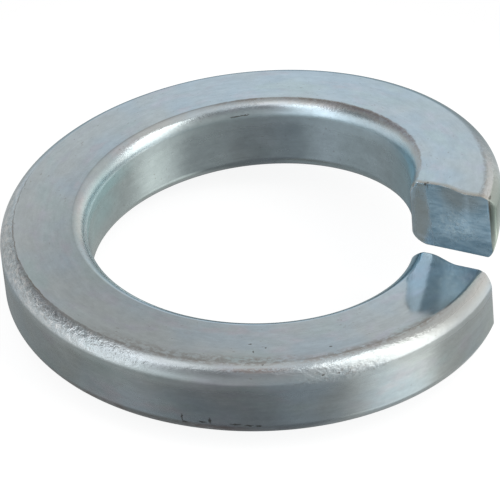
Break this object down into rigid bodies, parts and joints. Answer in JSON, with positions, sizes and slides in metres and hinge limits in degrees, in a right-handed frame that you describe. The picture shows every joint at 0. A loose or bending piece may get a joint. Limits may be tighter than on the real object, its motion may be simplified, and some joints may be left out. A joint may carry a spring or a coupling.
{
  "type": "helical spring lock washer",
  "caption": "Split spring washer: one helical turn of rounded keystone wire whose raised end bites under a nut and whose spring keeps a bolt tight.",
  "frame": {"origin": "middle of the bore, on its axis and halfway up the coil", "axes": "+Z along the bore axis, towards the raised end's side; +X out through the cut; the wire sinks from the raised end, just past the cut at positive Y, to the lower end at negative Y"},
  "size_m": [0.05, 0.05, 0.016],
  "materials": {
    "zinc_plated_steel": "bright blue-white zinc plate over rolled spring steel: smooth satin flats and walls, hammered-looking rolled corners, sheared blue-grey ends"
  },
  "bodies": {
    "root": {"washer": "zinc_plated_steel"}
  },
  "joints": []
}
